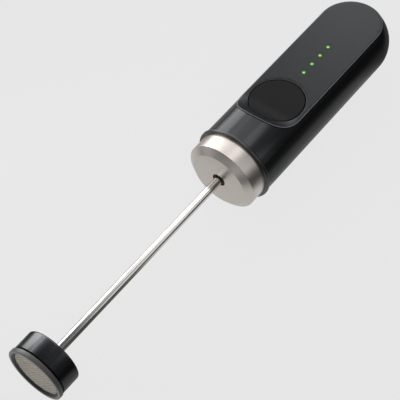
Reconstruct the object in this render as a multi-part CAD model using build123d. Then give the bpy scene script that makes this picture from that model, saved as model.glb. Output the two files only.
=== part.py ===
from build123d import *
import os
from math import cos, radians, sin, sqrt

# Head: clip-on screen ring, mixing cup and shaft. X runs along the tool from the screen to the handle end.
RING_PROUD = 0.4
RING_LENGTH = 2.1
RING_BEVEL = 1.2
RING_EDGE = 0.2
MESH_R = 10.8
MESH_RECESS = 1.1
MESH_T = 0.25
MESH_RIM = 0.6
MESH_PITCH = 1.2
MESH_WIRE = 0.35
GROOVE = 0.85
PLUG_WALL = 0.55
CUP_LENGTH = 8.9
CUP_WALL = 0.9
CUP_BACK = 1.5
CUP_ROUND = 0.9
PLUG_DEPTH = 2.6
HUB_R = 3.6
VANES = 8
VANE_T = 0.9
PORTS = 8
PORT_R = 1.5
SHAFT_R = 2.0
SHAFT_SPAN = 105.05

# Handle: steel cap, black collar and a round-ended shell with a flat, scooped face.
CAP_STEP = 1.0
CAP_FACE_IN = 3.46
CAP_BEVEL = 2.2
CAP_LENGTH = 10.1
CAP_WALL = 0.8
COLLAR_PROUD = 0.6
COLLAR_LENGTH = 1.6
COLLAR_ROUND = 0.5
HANDLE_R = 18.0
SHELL_STRAIGHT = 86.9
SHELL_WALL = 1.8
FLAT_SHARE = 11.06 / 18
SCOOP_R = 16.8
SCOOP_END = 59.5
SCOOP_BACK = 3.3
PANEL_T = 0.4
PANEL_PROUD = 0.25
WEB_T = 2.4
BUTTON_AT = 42.4
BUTTON_SHARE = 12.3 / 18
BUTTON_GAP = 0.45
BUTTON_TRAVEL = 0.6
FLANGE_OVER = 0.65
FLANGE_T = 0.8
LED_AT = 62.5
LED_PITCH = 6.2
LEDS = 4
LED_R = 0.75
GUIDE_HALF = 2.0
GUIDE_T = 1.2

# Drive line inside the handle.
SEAL_R = 3.2
SEAL_LENGTH = 2.0
BUSH_R = 3.5
BUSH_LENGTH = 3.6
BOSS_R = 5.5
COUPLING_R = 3.5
COUPLING_LENGTH = 5.0
COUPLING_GAP = 0.4
PLATE_GAP = 0.7
MOTOR_R = 7.75
MOTOR_FLAT = 6.1
CAN_LENGTH = 18.0
CAN_WALL = 0.6
BELL_LENGTH = 2.4
MOTOR_SHAFT_R = 1.0
MOTOR_BUSH_R = 2.2
CORE_R = 4.9
POLE_T = 1.4
COIL_T = 3.0
COIL_END = 0.8
TERMINAL_Y = 3.4
TERMINAL_T = 0.5
TERMINAL_HALF = 0.9
TERMINAL_OUT = 2.0
COMMUTATOR_T = 0.8
CORE_LENGTH = 8.0
MAGNET_T = 1.9
MAGNET_HALF = 4.2
SHOE_T = 0.8
SHOE_HALF = 3.4
SPIGOT_LENGTH = 7.0
SPIGOT_WALL = 1.65
O_RING_R = 0.5
PLATE_T = 1.6
CAP_SCREW_R = 1.1
CAP_SCREW_HEAD = 1.4
CAP_SCREW_LENGTH = 6.0
CAP_HOLE_LENGTH = 6.5
CAP_SCREW_GAP = 0.3
MOTOR_SCREW_Y = 5.6
MOTOR_SCREW_R = 0.8
SCREW_HEAD = 1.0

# Chassis, battery and electronics.
TROUGH_GAP = 0.2
TROUGH_WALL = 1.2
RIB_T = 1.5
CELL_LIFT = 1.0
CELL_HEAD = 1.9
BATTERY_LENGTH = 49.2
BATTERY_GAP = 7.5
NUB_R = 2.7
NUB_LENGTH = 0.8
TAB_T = 0.3
TAB_HALF = 2.5
PAD_T = 3.1
BOARD_DROP = 4.26
BOARD_T = 1.2
BOARD_GAP = 3.0
BOARD_HALF = 11.5
BOARD_POST_Y = 9.6
BOARD_POST_R = 1.5
BOARD_SCREW_R = 0.8
BOARD_SCREW_LENGTH = 4.5
SWITCH_SIZE = 6.0
SWITCH_FLOOR = 0.3
STEM_R = 1.6
LED_CHIP_LONG = 1.6
LED_CHIP_WIDE = 0.8
LED_CHIP_T = 0.6
CHIP_Y = 7.0
CHIP_SIZE = 5.0
CHIP_T = 1.0
USB_WIDTH = 8.94
USB_HEIGHT = 3.26
USB_DEPTH = 8.4
USB_WALL = 0.3
USB_INSET = 0.8
USB_BACK = 1.0
TONGUE_HALF = 3.35
TONGUE_T = 0.7
WIRE_R = 0.5

# Clearances.
RUN_FIT = 0.03
SLIDE_FIT = 0.05
LOOSE_FIT = 0.15

# Stations along the axis, each from the sizes above.
PLUG_R = MESH_R + MESH_RIM + PLUG_WALL
CUP_BORE = PLUG_R + SLIDE_FIT
CUP_R = CUP_BORE + CUP_WALL
RING_R = CUP_R + RING_PROUD
RING_FACE_R = MESH_R + RING_BEVEL
CUP_X = RING_LENGTH + GROOVE
CUP_END = CUP_X + CUP_LENGTH
CAP_X = CUP_END + SHAFT_SPAN
COLLAR_X = CAP_X + CAP_LENGTH
SHELL_X = COLLAR_X + COLLAR_LENGTH
DOME_X = SHELL_X + SHELL_STRAIGHT
LENGTH = DOME_X + HANDLE_R
CAP_R = HANDLE_R - CAP_STEP
CAP_FACE_R = CAP_R - CAP_FACE_IN
COLLAR_R = HANDLE_R + COLLAR_PROUD
FLAT_Z = HANDLE_R * FLAT_SHARE
BUTTON_R = HANDLE_R * BUTTON_SHARE
BORE_R = HANDLE_R - SHELL_WALL
SPIGOT_R = BORE_R - SLIDE_FIT
SPIGOT_X = SHELL_X + SPIGOT_LENGTH - COLLAR_LENGTH
SPIGOT_BORE = SPIGOT_R - SPIGOT_WALL
TROUGH_R = SPIGOT_BORE - TROUGH_GAP
TROUGH_BORE = TROUGH_R - TROUGH_WALL
CAP_SCREW_Z = TROUGH_BORE - 2 * CAP_SCREW_R - CAP_SCREW_GAP
PLUG_X = CUP_X + PLUG_DEPTH
BUTTON_X = CAP_X + BUTTON_AT
SCOOP_X = BUTTON_X - SCOOP_BACK
LED_X = CAP_X + LED_AT
CEILING_Z = FLAT_Z - PANEL_T - WEB_T
BOARD_Z = CEILING_Z - BOARD_DROP
BATTERY_R = (BOARD_Z + TROUGH_BORE - CELL_LIFT - CELL_HEAD) / 2
BATTERY_Z = BATTERY_R + CELL_LIFT - TROUGH_BORE
SEAL_END = CAP_X + SEAL_LENGTH
BUSH_END = SEAL_END + BUSH_LENGTH
COUPLING_X = BUSH_END + COUPLING_GAP
COUPLING_MID = COUPLING_X + COUPLING_LENGTH * 0.46
COUPLING_END = COUPLING_X + COUPLING_LENGTH
PLATE_X = COUPLING_END + PLATE_GAP
CAN_X = PLATE_X + PLATE_T
CAN_END = CAN_X + CAN_LENGTH
BELL_END = CAN_END + BELL_LENGTH
BOARD_X = BELL_END + BOARD_GAP
BATTERY_X = BELL_END + BATTERY_GAP
CELL_X = BATTERY_X + NUB_LENGTH
CELL_END = CELL_X + BATTERY_LENGTH
PAD_X = CELL_END + TAB_T
WALL_X = PAD_X + PAD_T
WALL_END = WALL_X + RIB_T
BOARD_END = WALL_END - 1.0
BOARD_TOP = BOARD_Z + BOARD_T
USB_END = DOME_X + sqrt(HANDLE_R ** 2 - (USB_WIDTH / 2) ** 2 - BOARD_Z ** 2) - USB_INSET
USB_X = USB_END - USB_DEPTH
USB_Z = BOARD_Z - USB_HEIGHT / 2
FLANGE_TOP = CEILING_Z - 0.02
FLANGE_Z = FLANGE_TOP - FLANGE_T


def spun(points):
    """Solid of revolution about the tool axis from (x, radius) points."""
    return revolve(Plane.XZ * make_face(Polyline(points, close=True)), Axis.X, 360)


def rod(x0, x1, r, y=0.0, z=0.0):
    return Pos((x0 + x1) / 2, y, z) * Rot(0, 90, 0) * Cylinder(r, x1 - x0)


def tube(x0, x1, r0, r1):
    return spun([(x0, r0), (x0, r1), (x1, r1), (x1, r0)])


def block(x0, x1, y0, y1, z0, z1):
    return Pos((x0 + x1) / 2, (y0 + y1) / 2, (z0 + z1) / 2) * Box(x1 - x0, y1 - y0, z1 - z0)


def post(x, y, z0, z1, r):
    return Pos(x, y, (z0 + z1) / 2) * Cylinder(r, z1 - z0)


def capsule(x0, r):
    """Round-ended bar of radius r from x0 to the handle end."""
    mid = (DOME_X + r * cos(radians(45)), r * sin(radians(45)))
    edge = Polyline((DOME_X + r, 0), (x0, 0), (x0, r), (DOME_X, r))
    edge += ThreePointArc((DOME_X, r), mid, (DOME_X + r, 0))
    return revolve(Plane.XZ * make_face(edge), Axis.X, 360)


def above(depth):
    """Everything over the scooped flat face, lowered into the handle by depth."""
    r = SCOOP_R + depth
    zc = FLAT_Z + SCOOP_R
    far = LENGTH + HANDLE_R
    top = zc + HANDLE_R
    end = (SCOOP_X - r * sin(radians(SCOOP_END)), zc - r * cos(radians(SCOOP_END)))
    half = (SCOOP_X - r * sin(radians(SCOOP_END / 2)), zc - r * cos(radians(SCOOP_END / 2)))
    edge = ThreePointArc(end, half, (SCOOP_X, zc - r))
    edge += Polyline((SCOOP_X, zc - r), (far, zc - r), (far, top), (end[0], top), end)
    return extrude(Plane.XZ * make_face(edge), 30, both=True)


parts = {}

# Screen ring: a turned ring whose plug pushes into the cup and holds the mesh in a slot.
slot_r = MESH_R + MESH_RIM
groove_r = PLUG_R + SLIDE_FIT - 2 * O_RING_R * 0.6
o_ring_x = CUP_X + PLUG_DEPTH / 2
parts["screen_ring"] = spun([
    (0, RING_FACE_R), (0, RING_R - RING_EDGE), (RING_EDGE, RING_R), (RING_LENGTH - RING_EDGE, RING_R),
    (RING_LENGTH, RING_R - RING_EDGE), (RING_LENGTH, PLUG_R), (o_ring_x - 0.35, PLUG_R),
    (o_ring_x - 0.35, groove_r), (o_ring_x + 0.35, groove_r), (o_ring_x + 0.35, PLUG_R),
    (PLUG_X, PLUG_R), (PLUG_X, MESH_R), (MESH_RECESS + MESH_T, MESH_R), (MESH_RECESS + MESH_T, slot_r),
    (MESH_RECESS, slot_r), (MESH_RECESS, MESH_R),
])
o_ring_section = (PLUG_R - groove_r) / 2
o_ring = Torus(groove_r + o_ring_section, o_ring_section)
parts["screen_o_ring"] = Pos(o_ring_x, 0, 0) * Rot(0, 90, 0) * o_ring

# Screen mesh: one sheet with square gaps, held by its plain rim.
gap = MESH_PITCH - MESH_WIRE
cells = int(MESH_R / MESH_PITCH)
holes = []
for i in range(-cells, cells + 1):
    for j in range(-cells, cells + 1):
        corner = sqrt((abs(i) * MESH_PITCH + gap / 2) ** 2 + (abs(j) * MESH_PITCH + gap / 2) ** 2)
        if corner < MESH_R - MESH_WIRE / 2:
            centre = Plane((MESH_RECESS, i * MESH_PITCH, j * MESH_PITCH), (0, 1, 0), (1, 0, 0))
            holes.append(Wire.make_rect(gap, gap, centre))
rim = Wire.make_circle(slot_r, Plane((MESH_RECESS, 0, 0), (0, 1, 0), (1, 0, 0)))
parts["screen_mesh"] = extrude(Face(rim, holes), MESH_T, dir=(1, 0, 0))

# Mixing head: a cup on the shaft, with vanes inside and ports through its back.
back_x = CUP_END - CUP_BACK
cup = tube(CUP_X, CUP_END, CUP_BORE, CUP_R) + tube(back_x, CUP_END, SHAFT_R, CUP_R)
shoulder = cup.edges().filter_by(GeomType.CIRCLE).group_by(Axis.X)[-1].sort_by(SortBy.RADIUS)[-1:]
cup = fillet(shoulder, CUP_ROUND)
vane_x = PLUG_X + SLIDE_FIT
cup += tube(vane_x, back_x, SHAFT_R, HUB_R)
for i in range(VANES):
    vane = block(vane_x, back_x, HUB_R - 0.4, CUP_BORE + 0.2, -VANE_T / 2, VANE_T / 2)
    cup += Rot(i * 360 / VANES, 0, 0) * vane
port_at = (HUB_R + CUP_BORE) / 2
for i in range(PORTS):
    cup -= Rot((i + 0.5) * 360 / PORTS, 0, 0) * rod(back_x - 1, CUP_END + 1, PORT_R, port_at)
parts["mixing_head"] = cup

# Shaft, its seal and bush, and the coupling to the motor.
parts["drive_shaft"] = rod(vane_x, COUPLING_MID, SHAFT_R)
parts["shaft_seal"] = tube(CAP_X, SEAL_END, SHAFT_R + RUN_FIT, SEAL_R)
parts["shaft_bush"] = tube(SEAL_END, BUSH_END, SHAFT_R + RUN_FIT, BUSH_R)
parts["shaft_coupling"] = spun([
    (COUPLING_X, SHAFT_R), (COUPLING_X, COUPLING_R), (COUPLING_END, COUPLING_R),
    (COUPLING_END, MOTOR_SHAFT_R), (COUPLING_MID, MOTOR_SHAFT_R), (COUPLING_MID, SHAFT_R),
])

# Steel cap: a drawn shell over the nose moulding.
nose_r = CAP_R - CAP_WALL
nose_face_r = CAP_FACE_R - CAP_WALL * 0.6
nose_x = CAP_X + CAP_WALL
nose_bevel_x = CAP_X + CAP_BEVEL + CAP_WALL * 0.5
parts["steel_end_cap"] = spun([
    (CAP_X, SEAL_R), (CAP_X, CAP_FACE_R), (CAP_X + CAP_BEVEL, CAP_R), (COLLAR_X, CAP_R),
    (COLLAR_X, nose_r), (nose_bevel_x, nose_r), (nose_x, nose_face_r), (nose_x, SEAL_R),
])

# Nose moulding: seats the seal and bush, closes the shell and carries the screw posts.
seat_x = SPIGOT_X - 2.6
seat_half = O_RING_R * 1.3
seat_r = BORE_R - 2 * O_RING_R
cave_x = nose_x + 1.6
nose = spun([
    (nose_x, SEAL_R), (nose_x, nose_face_r), (nose_bevel_x, nose_r), (COLLAR_X, nose_r),
    (COLLAR_X, SPIGOT_R), (seat_x - seat_half, SPIGOT_R), (seat_x - seat_half, seat_r),
    (seat_x + seat_half, seat_r), (seat_x + seat_half, SPIGOT_R), (SPIGOT_X, SPIGOT_R),
    (SPIGOT_X, SPIGOT_BORE), (cave_x, SPIGOT_BORE), (cave_x, BOSS_R), (BUSH_END, BOSS_R),
    (BUSH_END, BUSH_R), (SEAL_END, BUSH_R), (SEAL_END, SEAL_R),
])
for s in (-1, 1):
    nose += rod(cave_x - 0.5, PLATE_X, 2 * CAP_SCREW_R, 0, s * CAP_SCREW_Z)
for s in (-1, 1):
    nose -= rod(PLATE_X - CAP_HOLE_LENGTH, PLATE_X + 1, CAP_SCREW_R, 0, s * CAP_SCREW_Z)
parts["nose_block"] = nose
parts["body_o_ring"] = Pos(seat_x, 0, 0) * Rot(0, 90, 0) * Torus(seat_r + O_RING_R, O_RING_R)

# Collar: a black ring between cap and shell.
collar = tube(COLLAR_X, SHELL_X, SPIGOT_R, COLLAR_R)
collar_edges = collar.edges().filter_by(GeomType.CIRCLE).group_by(SortBy.RADIUS)[-1]
parts["end_collar"] = fillet(collar_edges, COLLAR_ROUND)

# Shell: round-ended tube with the seat of the face panel, the button opening and the charging slot.
opening_r = BUTTON_R + BUTTON_GAP
ceiling_x = BUTTON_X - BUTTON_R - FLANGE_OVER - BUTTON_GAP - 1.5
cavity = capsule(SHELL_X - 1, BORE_R)
cavity -= block(ceiling_x, LENGTH, -HANDLE_R, HANDLE_R, CEILING_Z, HANDLE_R)
shell = capsule(SHELL_X, HANDLE_R) - cavity - above(PANEL_T)
shell -= post(BUTTON_X, 0, CEILING_Z - 1, HANDLE_R, opening_r)
for i in range(LEDS):
    shell -= post(LED_X + i * LED_PITCH, 0, CEILING_Z - 1, FLAT_Z, LED_R)
slot = block(USB_X, LENGTH + 1, -USB_WIDTH / 2 - LOOSE_FIT, USB_WIDTH / 2 + LOOSE_FIT,
             USB_Z - USB_HEIGHT / 2 - LOOSE_FIT, USB_Z + USB_HEIGHT / 2 + LOOSE_FIT)
shell -= fillet(slot.edges().filter_by(Axis.X), USB_HEIGHT * 0.42)
parts["handle_shell"] = shell

# Face panel: thin plate bonded over the flat and the thumb scoop.
panel = capsule(SHELL_X, HANDLE_R + PANEL_PROUD) & above(PANEL_T)
panel -= above(0)
panel -= post(BUTTON_X, 0, CEILING_Z, HANDLE_R + 5, opening_r)
for i in range(LEDS):
    panel -= post(LED_X + i * LED_PITCH, 0, CEILING_Z, FLAT_Z + 1, LED_R)
parts["face_panel"] = panel

# Push button: follows the flat and the scoop, and its flange stops under the shell.
button = post(BUTTON_X, 0, FLANGE_Z, HANDLE_R + 5, BUTTON_R) - above(0)
button += post(BUTTON_X, 0, FLANGE_Z, FLANGE_TOP, opening_r + FLANGE_OVER)
parts["push_button"] = button

# Light guide: a clear bar under the face with one pillar per indicator.
led_end = LED_X + (LEDS - 1) * LED_PITCH
guide = block(LED_X - GUIDE_HALF, led_end + GUIDE_HALF, -GUIDE_HALF, GUIDE_HALF,
              CEILING_Z - GUIDE_T, CEILING_Z)
for i in range(LEDS):
    guide += post(LED_X + i * LED_PITCH, 0, CEILING_Z - GUIDE_T / 2, FLAT_Z, LED_R)
parts["light_guide"] = guide

# Motor: a flat-sided can with magnets, brushes and a plastic end bell.
sides = block(CAN_X - 5, BELL_END + 5, -MOTOR_R, MOTOR_R, -MOTOR_FLAT, MOTOR_FLAT)
inner = block(CAN_X, CAN_END + 1, -MOTOR_R, MOTOR_R, CAN_WALL - MOTOR_FLAT, MOTOR_FLAT - CAN_WALL)
boss_r = MOTOR_BUSH_R + CAN_WALL
can = rod(CAN_X, CAN_END, MOTOR_R) & sides
can -= rod(CAN_X + CAN_WALL, CAN_END + 1, MOTOR_R - CAN_WALL) & inner
can += rod(PLATE_X + 0.1, CAN_X + CAN_WALL, boss_r)
bush_x = CAN_X + CAN_WALL
can -= rod(PLATE_X, bush_x + 1, MOTOR_BUSH_R)
for s in (-1, 1):
    can -= rod(CAN_X - 1, CAN_X + CAN_WALL + 0.1, MOTOR_SCREW_R, s * MOTOR_SCREW_Y)
parts["motor_can"] = can
parts["motor_front_bush"] = tube(PLATE_X + 0.1, bush_x, MOTOR_SHAFT_R + RUN_FIT, MOTOR_BUSH_R)
magnet_r = MOTOR_R - CAN_WALL
core_x = CAN_X + 4.0
core_end = core_x + CORE_LENGTH
magnets = tube(core_x - 1, core_end + 1, magnet_r - MAGNET_T, magnet_r)
magnets &= block(core_x - 2, core_end + 2, -MOTOR_R, MOTOR_R, -MAGNET_HALF, MAGNET_HALF)
parts["motor_magnets"] = magnets
bell = rod(CAN_END, BELL_END, MOTOR_R) & sides
bell += rod(CAN_END - 1.2, CAN_END, MOTOR_R - CAN_WALL) & inner
rear_x = BELL_END - 1.6
brush_x = CAN_END - 2.6
bell -= rod(rear_x, BELL_END + 1, MOTOR_BUSH_R)
bell -= rod(CAN_END - 2, rear_x + 0.1, MOTOR_SHAFT_R + LOOSE_FIT)
for s in (-1, 1):
    y0 = s * TERMINAL_Y - TERMINAL_T / 2
    bell -= block(brush_x, BELL_END + 1, y0, y0 + TERMINAL_T, -TERMINAL_HALF, TERMINAL_HALF)
parts["motor_end_bell"] = bell
parts["motor_rear_bush"] = tube(rear_x, BELL_END, MOTOR_SHAFT_R + RUN_FIT, MOTOR_BUSH_R)
comm_x = core_end + 2 * COIL_END
comm_r = MOTOR_SHAFT_R + COMMUTATOR_T
terminal_x = CAN_END - 1.2
brushes = []
terminals = []
for s in (-1, 1):
    y0 = s * TERMINAL_Y - TERMINAL_T / 2
    leaf = block(comm_x + 0.2, terminal_x, y0, y0 + TERMINAL_T, -TERMINAL_HALF, TERMINAL_HALF)
    tip = sorted((s * (comm_r + SLIDE_FIT), s * TERMINAL_Y))
    leaf += block(comm_x + 0.2, comm_x + 0.9, tip[0], tip[1], -TERMINAL_HALF, TERMINAL_HALF)
    brushes.append(leaf)
    tag_end = BELL_END + TERMINAL_OUT
    terminals.append(block(terminal_x, tag_end, y0, y0 + TERMINAL_T, -TERMINAL_HALF, TERMINAL_HALF))
parts["motor_brushes"] = Compound(children=brushes)
parts["motor_terminals"] = Compound(children=terminals)

# Armature: three-pole core, three coils and a commutator on the motor shaft.
parts["motor_shaft"] = rod(COUPLING_MID, BELL_END - 0.2, MOTOR_SHAFT_R)
core = tube(core_x, core_end, MOTOR_SHAFT_R, MOTOR_SHAFT_R + 0.9)
coils = []
coil_r = sqrt((CORE_R - SHOE_T - SLIDE_FIT) ** 2 - (COIL_T / 2) ** 2)
for i in range(3):
    turn = Rot(i * 120, 0, 0)
    pole = block(core_x, core_end, MOTOR_SHAFT_R + 0.5, CORE_R - 0.5, -POLE_T / 2, POLE_T / 2)
    shoe = tube(core_x, core_end, CORE_R - SHOE_T, CORE_R)
    shoe &= block(core_x, core_end, 0, CORE_R, -SHOE_HALF, SHOE_HALF)
    core += turn * (pole + shoe)
    coil = block(core_x - COIL_END, core_end + COIL_END, MOTOR_SHAFT_R + 1.1, coil_r, -COIL_T / 2, COIL_T / 2)
    coil -= block(core_x, core_end, 0, CORE_R, -POLE_T / 2, POLE_T / 2)
    coils.append(turn * coil)
parts["rotor_core"] = core
parts["rotor_windings"] = Compound(children=coils)
parts["commutator"] = tube(comm_x, terminal_x - 0.4, MOTOR_SHAFT_R, comm_r)

# Chassis: front plate, trough, centring ribs, battery cradles, board posts and end wall.
low = block(PLATE_X, LENGTH, -HANDLE_R, HANDLE_R, -HANDLE_R, -4.0)
chassis = rod(PLATE_X, CAN_X, TROUGH_R)
chassis += tube(CAN_X, WALL_END, TROUGH_BORE, TROUGH_R) & low
for x in (BELL_END, (BELL_END + WALL_X) / 2, WALL_X - 6):
    chassis += tube(x, x + RIB_T, TROUGH_R - 0.5, SPIGOT_R) & low
for x in (CELL_X + 5, CELL_END - 5 - RIB_T):
    saddle = rod(x, x + RIB_T, TROUGH_R - 0.5)
    chassis += saddle & block(x, x + RIB_T, -HANDLE_R, HANDLE_R, -HANDLE_R, BATTERY_Z)
chassis += rod(WALL_X, WALL_END, TROUGH_R) & block(WALL_X, WALL_END, -TROUGH_R, TROUGH_R, -HANDLE_R, BOARD_Z)
screw_x = (BOARD_X + 3, BOARD_END - 3.5)
for x in screw_x:
    for s in (-1, 1):
        foot = -sqrt((TROUGH_R - TROUGH_WALL / 2) ** 2 - BOARD_POST_Y ** 2)
        chassis += post(x, s * BOARD_POST_Y, foot, BOARD_Z, BOARD_POST_R)
chassis -= rod(CELL_X, CELL_END, BATTERY_R, 0, BATTERY_Z)
chassis -= rod(PLATE_X - 1, CAN_X + 0.1, boss_r + SLIDE_FIT)
for s in (-1, 1):
    chassis -= rod(PLATE_X - 1, CAN_X + 1, CAP_SCREW_R, 0, s * CAP_SCREW_Z)
    chassis -= rod(PLATE_X - 1, CAN_X + 1, MOTOR_SCREW_R, s * MOTOR_SCREW_Y)
    for x in screw_x:
        chassis -= post(x, s * BOARD_POST_Y, BOARD_Z - BOARD_SCREW_LENGTH - 0.5, BOARD_Z + 1, BOARD_SCREW_R)
parts["chassis"] = chassis

# Screws: the chassis to the nose, the motor to the chassis, the board to its posts.
cap_screws = []
motor_screws = []
board_screws = []
for s in (-1, 1):
    stem = rod(PLATE_X - CAP_SCREW_LENGTH, CAN_X, CAP_SCREW_R, 0, s * CAP_SCREW_Z)
    cap_screws.append(stem + rod(CAN_X, CAN_X + CAP_SCREW_HEAD, 2 * CAP_SCREW_R, 0, s * CAP_SCREW_Z))
    stem = rod(PLATE_X, CAN_X + CAN_WALL, MOTOR_SCREW_R, s * MOTOR_SCREW_Y)
    motor_screws.append(stem + rod(PLATE_X - SCREW_HEAD, PLATE_X, 2 * MOTOR_SCREW_R, s * MOTOR_SCREW_Y))
    for x in screw_x:
        stem = post(x, s * BOARD_POST_Y, BOARD_Z - BOARD_SCREW_LENGTH, BOARD_TOP, BOARD_SCREW_R)
        head = post(x, s * BOARD_POST_Y, BOARD_TOP, BOARD_TOP + SCREW_HEAD, 2 * BOARD_SCREW_R)
        board_screws.append(stem + head)
parts["cap_screws"] = Compound(children=cap_screws)
parts["motor_screws"] = Compound(children=motor_screws)
parts["board_screws"] = Compound(children=board_screws)

# Battery: one round cell with welded tabs up to the board and a foam pad behind it.
cell = rod(CELL_X, CELL_END, BATTERY_R, 0, BATTERY_Z)
parts["battery_cell"] = cell + rod(BATTERY_X, CELL_X, NUB_R, 0, BATTERY_Z)
front_tab = block(BATTERY_X - TAB_T, BATTERY_X, -TAB_HALF, TAB_HALF, BATTERY_Z - TAB_HALF, BOARD_Z)
rear_tab = block(CELL_END, PAD_X, -TAB_HALF, TAB_HALF, BATTERY_Z - TAB_HALF, BOARD_Z)
parts["battery_tabs"] = Compound(children=[front_tab, rear_tab])
parts["battery_pad"] = rod(PAD_X, WALL_X, BATTERY_R - 1, 0, BATTERY_Z)

# Circuit board with switch, indicators, chips and charging socket.
tail_end = USB_END - 2.2
tail_half = USB_WIDTH / 2 + 0.9
board = block(BOARD_X, BOARD_END, -BOARD_HALF, BOARD_HALF, BOARD_Z, BOARD_TOP)
board += block(BOARD_END, tail_end, -tail_half, tail_half, BOARD_Z, BOARD_TOP)
for x in screw_x:
    for s in (-1, 1):
        board -= post(x, s * BOARD_POST_Y, BOARD_Z - 1, BOARD_TOP + 1, BOARD_SCREW_R)
parts["circuit_board"] = board
switch_top = FLANGE_Z - BUTTON_TRAVEL - LOOSE_FIT
half = SWITCH_SIZE / 2
switch = block(BUTTON_X - half, BUTTON_X + half, -half, half, BOARD_TOP, switch_top)
switch_well = BOARD_TOP + SWITCH_FLOOR
switch -= post(BUTTON_X, 0, switch_well, switch_top + 1, STEM_R + SLIDE_FIT)
parts["switch_case"] = switch
parts["switch_stem"] = post(BUTTON_X, 0, switch_well + BUTTON_TRAVEL + 0.1, FLANGE_Z, STEM_R)
lamps = []
for i in range(LEDS):
    x = LED_X + i * LED_PITCH
    lamp = Pos(x, 0, BOARD_TOP + LED_CHIP_T / 2) * Box(LED_CHIP_LONG, LED_CHIP_WIDE, LED_CHIP_T)
    lamps.append(lamp)
parts["indicator_leds"] = Compound(children=lamps)
chips = []
for x, y, size in ((1, CHIP_Y, CHIP_SIZE), (3, -CHIP_Y, CHIP_SIZE), (-0.2, -CHIP_Y, 0.8 * CHIP_SIZE)):
    chips.append(Pos(LED_X + x * CHIP_SIZE, y, BOARD_TOP + CHIP_T / 2) * Box(size, size, CHIP_T))
parts["control_chips"] = Compound(children=chips)

# Charging socket: rounded metal sleeve, closed behind, around a contact tongue.
sleeve = block(USB_X, USB_END, -USB_WIDTH / 2, USB_WIDTH / 2, USB_Z - USB_HEIGHT / 2, BOARD_Z)
sleeve = fillet(sleeve.edges().filter_by(Axis.X), USB_HEIGHT * 0.4)
mouth = block(USB_X + USB_BACK, USB_END + 1, USB_WALL - USB_WIDTH / 2, USB_WIDTH / 2 - USB_WALL,
              USB_Z - USB_HEIGHT / 2 + USB_WALL, BOARD_Z - USB_WALL)
sleeve -= fillet(mouth.edges().filter_by(Axis.X), USB_HEIGHT * 0.32)
parts["usb_socket"] = sleeve
tongue_z = USB_Z - TONGUE_T / 2
parts["usb_tongue"] = block(USB_X + USB_BACK, USB_END - 0.9, -TONGUE_HALF, TONGUE_HALF,
                            tongue_z, tongue_z + TONGUE_T)

# Motor leads: two insulated wires from the terminals up to the board.
leads = []
lead_x = BELL_END + TERMINAL_OUT / 2
lead_z = (TERMINAL_HALF + BOARD_Z) / 2
for s in (-1, 1):
    y = s * TERMINAL_Y
    turn_x = BOARD_X + 2
    route = [(lead_x, y, TERMINAL_HALF), (lead_x, y, lead_z), (turn_x, y, lead_z), (turn_x, y, BOARD_Z)]
    path = FilletPolyline(*route, radius=1.4 * WIRE_R)
    leads.append(sweep(Pos(*route[0]) * Circle(WIRE_R), path))
parts["motor_leads"] = Compound(children=leads)

os.makedirs("parts", exist_ok=True)
place = Pos(-LENGTH / 2, 0, COLLAR_R)
for name, shape in parts.items():
    export_step(place * shape, "parts/" + name + ".step")
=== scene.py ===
import math

import bmesh
import bpy
import numpy as np
from mathutils import Matrix, Vector
from mathutils.geometry import delaunay_2d_cdt


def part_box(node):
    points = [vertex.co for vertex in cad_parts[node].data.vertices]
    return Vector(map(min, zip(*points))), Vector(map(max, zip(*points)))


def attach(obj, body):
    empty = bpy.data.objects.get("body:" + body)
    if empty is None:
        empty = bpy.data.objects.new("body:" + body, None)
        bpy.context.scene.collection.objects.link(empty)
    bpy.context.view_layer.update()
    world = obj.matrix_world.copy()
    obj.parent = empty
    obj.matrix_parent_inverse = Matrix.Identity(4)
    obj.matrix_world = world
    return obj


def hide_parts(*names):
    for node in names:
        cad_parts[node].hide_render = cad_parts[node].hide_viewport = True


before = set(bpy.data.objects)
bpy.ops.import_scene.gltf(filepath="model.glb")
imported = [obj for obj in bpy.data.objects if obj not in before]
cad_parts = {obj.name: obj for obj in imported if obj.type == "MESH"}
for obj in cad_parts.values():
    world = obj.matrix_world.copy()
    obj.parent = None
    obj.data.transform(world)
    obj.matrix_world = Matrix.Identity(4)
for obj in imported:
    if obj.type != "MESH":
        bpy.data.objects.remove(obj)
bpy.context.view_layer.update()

MM = 0.001

# Handle shell
# A round-ended tube moulded in black plastic, with a fine satin texture from the tool.
# It slides over the nose moulding from behind, and its flat top takes the face panel.
shaft_low, shaft_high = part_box("drive_shaft")
axis_z = (shaft_low.z + shaft_high.z) / 2
SHELL_BLACK = (0.0032, 0.0034, 0.0038, 1)
SHELL_ROUGH = (0.19, 0.25)
SHELL_GRAIN = 2600
SHELL_BUMP = 0.02
COOL_GLOSS = (0.93, 0.955, 1, 1)


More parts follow.
